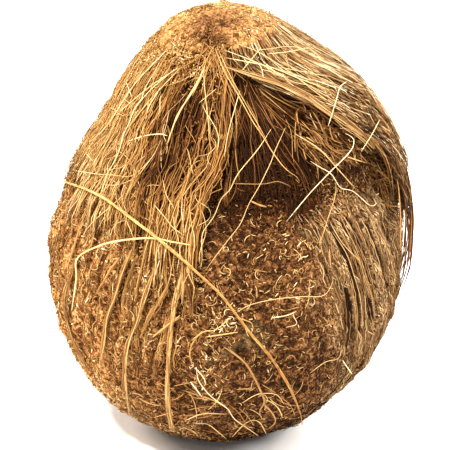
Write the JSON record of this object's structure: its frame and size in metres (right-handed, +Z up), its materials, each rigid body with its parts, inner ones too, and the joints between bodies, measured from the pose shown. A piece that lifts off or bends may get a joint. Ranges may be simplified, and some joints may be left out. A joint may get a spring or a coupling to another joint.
{
  "type": "coconut",
  "caption": "Half-husked coconut standing on a small flat spot: a rounded nut in brown coir felt, with long straw-coloured husk fibre combed down from its crown.",
  "frame": {"origin": "middle of the small flat spot that the nut rests on", "axes": "+Z up through the stalk end, -Y the side that faces the viewer and shows the parting in the tuft, +X the viewer's right, which is the full side of the tuft"},
  "size_m": [0.1225, 0.1248, 0.1449],
  "materials": {
    "coir_felt": "matt matted coir, rough",
    "husk_fibre": "dry combed husk fibre, faint sheen along the strands"
  },
  "bodies": {
    "root": {"nut": "coir_felt", "husk_tuft": "husk_fibre"}
  },
  "joints": []
}
